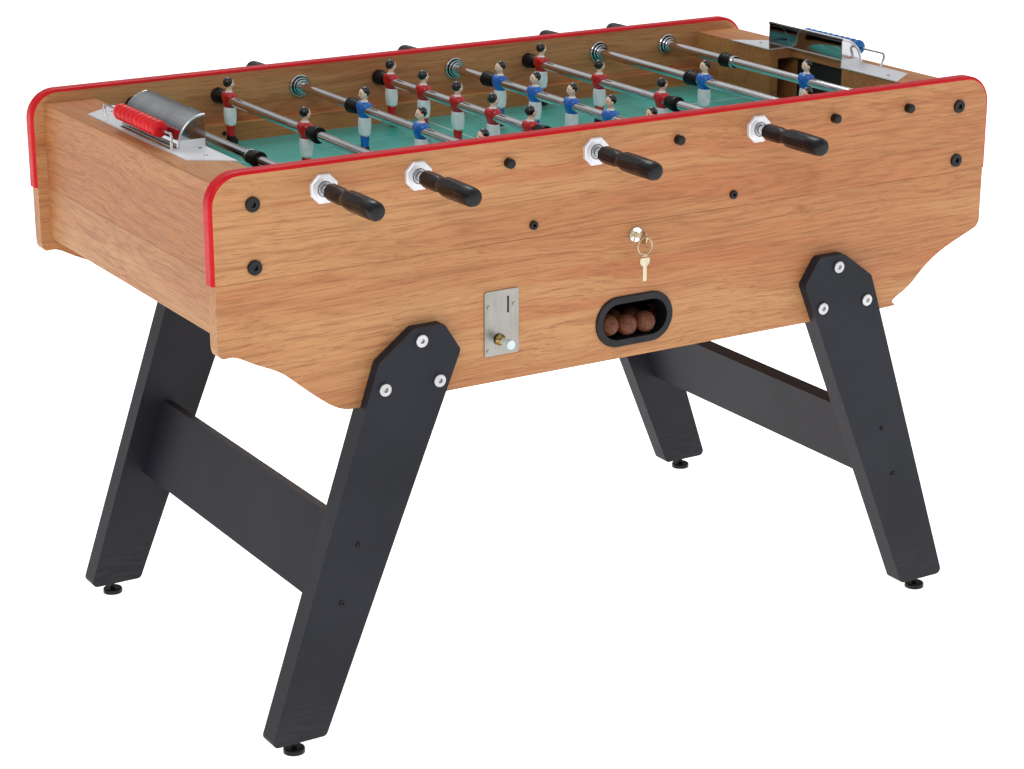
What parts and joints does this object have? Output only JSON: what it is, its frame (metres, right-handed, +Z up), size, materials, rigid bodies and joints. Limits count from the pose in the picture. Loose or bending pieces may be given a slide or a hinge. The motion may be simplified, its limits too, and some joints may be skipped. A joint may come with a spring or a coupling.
{
  "type": "table football table",
  "caption": "Free-standing table football table with a two-part cabinet, telescopic rods carrying moulded players, ball return and splayed legs.",
  "frame": {"origin": "on the floor, under the middle of the table", "axes": "+X along the length towards the second team's goal, -Y towards the side with the coin plate and ball return, +Z up"},
  "size_m": [1.42, 1.042, 0.931],
  "materials": {
    "oak_board": "light oak laminate, satin, long horizontal grain",
    "field_board": "teal green board with a satin film and thin white lines",
    "red_trim": "glossy red edge band",
    "leg_black": "satin charcoal black board",
    "chrome": "bright polished chrome",
    "stainless": "polished stainless sheet",
    "zinc_bolt": "zinc plated, satin",
    "black_bolt": "blackened steel, satin",
    "black_rubber": "dull black rubber",
    "black_plastic": "semi-gloss black plastic",
    "brass": "pale polished brass",
    "cork_ball": "dull brown",
    "red_figure": "painted figure, red shirt and socks, white shorts",
    "blue_figure": "painted figure, blue shirt and socks, white shorts",
    "red_bead": "glossy red",
    "blue_bead": "glossy blue"
  },
  "bodies": {
    "lower_cabinet": {"lower_front_panel": "oak_board", "lower_rear_panel": "oak_board", "lower_boards": "oak_board", "legs": "leg_black", "leg_stretchers": "leg_black", "leg_bolts": "zinc_bolt", "stretcher_screws": "black_bolt", "levelling_feet": "black_rubber", "ball_return_cup": "black_plastic", "coin_plate": "stainless", "lock_barrel": "chrome", "hinge_lower_leaves": "stainless"},
    "loose_balls": {"balls": "cork_ball"},
    "coin_knob": {"coin_knob": "brass"},
    "lock_key": {"lock_key": "brass"},
    "upper_cabinet": {"upper_front_panel": "oak_board", "upper_rear_panel": "oak_board", "edge_trims": "red_trim", "upper_boards": "oak_board", "playfield": "field_board", "goal_hoods": "stainless", "rod_bushes": "chrome", "inner_rods": "chrome", "rod_end_caps": "black_plastic", "cabinet_bolts": "black_bolt", "hinge_upper_leaves": "stainless"},
    "red_score_beads": {"red_score_beads": "red_bead"},
    "blue_score_beads": {"blue_score_beads": "blue_bead"},
    "rod_1_slider": {"rod_1_bumpers": "black_rubber"},
    "rod_1": {"rod_1_tube": "chrome", "rod_1_players": "red_figure", "rod_1_handle": "black_plastic"},
    "rod_2_slider": {"rod_2_bumpers": "black_rubber"},
    "rod_2": {"rod_2_tube": "chrome", "rod_2_players": "red_figure", "rod_2_handle": "black_plastic"},
    "rod_3_slider": {"rod_3_bumpers": "black_rubber"},
    "rod_3": {"rod_3_tube": "chrome", "rod_3_players": "blue_figure", "rod_3_handle": "black_plastic"},
    "rod_4_slider": {"rod_4_bumpers": "black_rubber"},
    "rod_4": {"rod_4_tube": "chrome", "rod_4_players": "red_figure", "rod_4_handle": "black_plastic"},
    "rod_5_slider": {"rod_5_bumpers": "black_rubber"},
    "rod_5": {"rod_5_tube": "chrome", "rod_5_players": "blue_figure", "rod_5_handle": "black_plastic"},
    "rod_6_slider": {"rod_6_bumpers": "black_rubber"},
    "rod_6": {"rod_6_tube": "chrome", "rod_6_players": "red_figure", "rod_6_handle": "black_plastic"},
    "rod_7_slider": {"rod_7_bumpers": "black_rubber"},
    "rod_7": {"rod_7_tube": "chrome", "rod_7_players": "blue_figure", "rod_7_handle": "black_plastic"},
    "rod_8_slider": {"rod_8_bumpers": "black_rubber"},
    "rod_8": {"rod_8_tube": "chrome", "rod_8_players": "blue_figure", "rod_8_handle": "black_plastic"}
  },
  "joints": [
    {"name": "cabinet_tilt", "type": "hinge", "parent": "lower_cabinet", "child": "upper_cabinet", "pos_m": [0, 0.361, 0.7415], "axis": [-1, 0, 0], "range_deg": [0, 60]},
    {"name": "balls_roll_out", "type": "slide", "parent": "lower_cabinet", "child": "loose_balls", "axis": [0, -1, 0], "range_m": [0, 0.06]},
    {"name": "coin_knob_pull", "type": "slide", "parent": "lower_cabinet", "child": "coin_knob", "axis": [0, -1, 0], "range_m": [0, 0.02]},
    {"name": "key_turn", "type": "hinge", "parent": "lower_cabinet", "child": "lock_key", "pos_m": [0, -0.3585, 0.7215], "axis": [0, 1, 0], "range_deg": [0, 90]},
    {"name": "red_beads_slide", "type": "slide", "parent": "upper_cabinet", "child": "red_score_beads", "axis": [0, 1, 0], "range_m": [-0.026, 0.052]},
    {"name": "blue_beads_slide", "type": "slide", "parent": "upper_cabinet", "child": "blue_score_beads", "axis": [0, 1, 0], "range_m": [-0.052, 0.026]},
    {"name": "rod_1_slide", "type": "slide", "parent": "upper_cabinet", "child": "rod_1_slider", "axis": [0, 1, 0], "range_m": [-0.163, 0]},
    {"name": "rod_1_spin", "type": "hinge", "parent": "rod_1_slider", "child": "rod_1", "pos_m": [-0.53445, 0, 0.8615], "axis": [0, 1, 0], "continuous": true},
    {"name": "rod_2_slide", "type": "slide", "parent": "upper_cabinet", "child": "rod_2_slider", "axis": [0, 1, 0], "range_m": [-0.27, 0]},
    {"name": "rod_2_spin", "type": "hinge", "parent": "rod_2_slider", "child": "rod_2", "pos_m": [-0.38175, 0, 0.8615], "axis": [0, 1, 0], "continuous": true},
    {"name": "rod_3_slide", "type": "slide", "parent": "upper_cabinet", "child": "rod_3_slider", "axis": [0, 1, 0], "range_m": [0, 0.174]},
    {"name": "rod_3_spin", "type": "hinge", "parent": "rod_3_slider", "child": "rod_3", "pos_m": [-0.22905, 0, 0.8615], "axis": [0, 1, 0], "continuous": true},
    {"name": "rod_4_slide", "type": "slide", "parent": "upper_cabinet", "child": "rod_4_slider", "axis": [0, 1, 0], "range_m": [-0.095, 0]},
    {"name": "rod_4_spin", "type": "hinge", "parent": "rod_4_slider", "child": "rod_4", "pos_m": [-0.07635, 0, 0.8615], "axis": [0, 1, 0], "continuous": true},
    {"name": "rod_5_slide", "type": "slide", "parent": "upper_cabinet", "child": "rod_5_slider", "axis": [0, 1, 0], "range_m": [0, 0.095]},
    {"name": "rod_5_spin", "type": "hinge", "parent": "rod_5_slider", "child": "rod_5", "pos_m": [0.07635, 0, 0.8615], "axis": [0, 1, 0], "continuous": true},
    {"name": "rod_6_slide", "type": "slide", "parent": "upper_cabinet", "child": "rod_6_slider", "axis": [0, 1, 0], "range_m": [-0.174, 0]},
    {"name": "rod_6_spin", "type": "hinge", "parent": "rod_6_slider", "child": "rod_6", "pos_m": [0.22905, 0, 0.8615], "axis": [0, 1, 0], "continuous": true},
    {"name": "rod_7_slide", "type": "slide", "parent": "upper_cabinet", "child": "rod_7_slider", "axis": [0, 1, 0], "range_m": [0, 0.27]},
    {"name": "rod_7_spin", "type": "hinge", "parent": "rod_7_slider", "child": "rod_7", "pos_m": [0.38175, 0, 0.8615], "axis": [0, 1, 0], "continuous": true},
    {"name": "rod_8_slide", "type": "slide", "parent": "upper_cabinet", "child": "rod_8_slider", "axis": [0, 1, 0], "range_m": [0, 0.163]},
    {"name": "rod_8_spin", "type": "hinge", "parent": "rod_8_slider", "child": "rod_8", "pos_m": [0.53445, 0, 0.8615], "axis": [0, 1, 0], "continuous": true}
  ]
}
